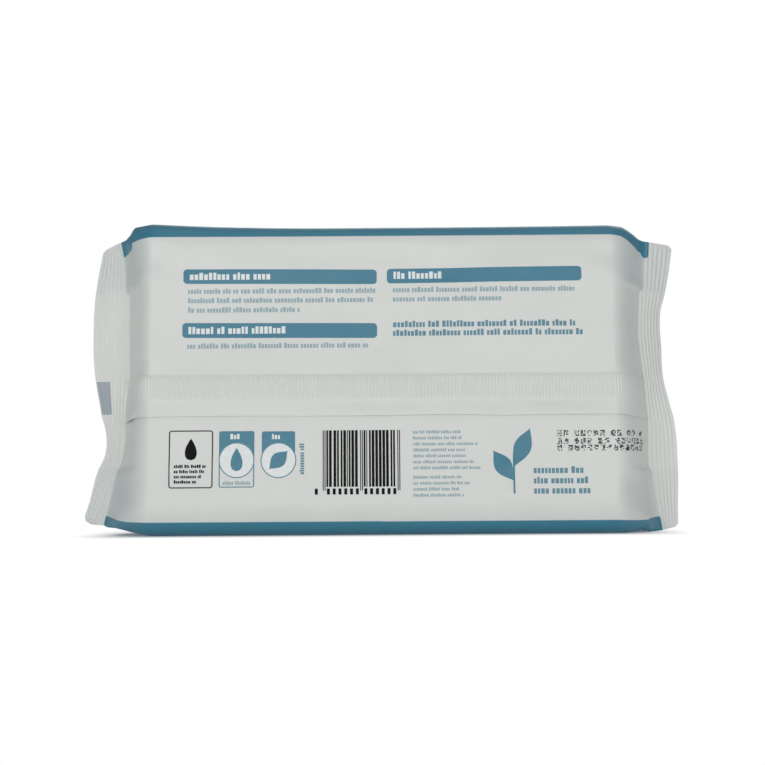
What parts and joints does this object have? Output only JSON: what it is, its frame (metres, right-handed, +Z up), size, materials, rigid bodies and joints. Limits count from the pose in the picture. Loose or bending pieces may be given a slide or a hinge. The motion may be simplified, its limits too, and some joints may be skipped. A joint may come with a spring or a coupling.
{
  "type": "wet wipes pack",
  "caption": "Full film pack of wet wipes with crimped end seals, tucked gussets and a folded back seam, standing on its long side, with a hinged flip lid over a peel-off seal.",
  "frame": {"origin": "on the standing face, midway along the pack, under the plane of the two end seals", "axes": "+X along the pack from end seal to end seal, +Y out through the lid on the front panel, +Z up"},
  "size_m": [0.2318, 0.056, 0.117],
  "materials": {
    "printed_film": "satin printed polyethylene film, white with teal bands",
    "lid_plastic": "satin moulded white polypropylene",
    "seal_label": "smooth pale film label"
  },
  "bodies": {
    "pack": {"film_pack": "printed_film", "lid_frame": "lid_plastic", "opening_seal": "seal_label"},
    "lid": {"lid_flap": "lid_plastic"}
  },
  "joints": [
    {"name": "lid_hinge", "type": "hinge", "parent": "pack", "child": "lid", "pos_m": [0, 0.0263, 0.08735], "axis": [1, 0, 0], "range_deg": [0, 110]}
  ]
}
